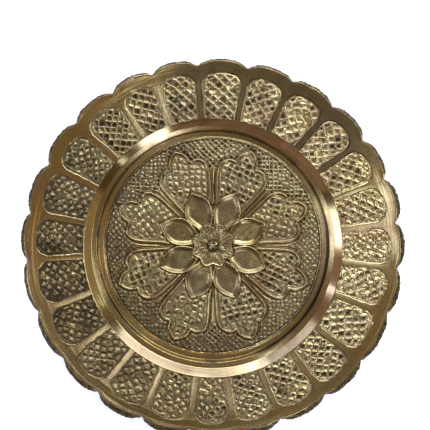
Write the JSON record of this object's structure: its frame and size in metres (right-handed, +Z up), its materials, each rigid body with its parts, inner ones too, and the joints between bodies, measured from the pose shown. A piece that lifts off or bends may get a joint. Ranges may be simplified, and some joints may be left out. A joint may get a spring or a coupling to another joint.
{
  "type": "brass tray",
  "caption": "Round cast brass tray with a scalloped rim, arched chased panels, a flower medallion in its shallow well and a low turned foot.",
  "frame": {"origin": "on the table, under the centre of the foot", "axes": "+Z up out of the well; +Y is the top of the tray as it is seen from above"},
  "size_m": [0.2798, 0.2798, 0.0315],
  "materials": {
    "aged_brass": "aged, with dark patina in the recesses",
    "fastener_brass": "dull, tarnished"
  },
  "bodies": {
    "root": {"dish": "aged_brass", "foot": "aged_brass", "centre_stud": "aged_brass", "washer": "fastener_brass", "nut": "fastener_brass"}
  },
  "joints": []
}
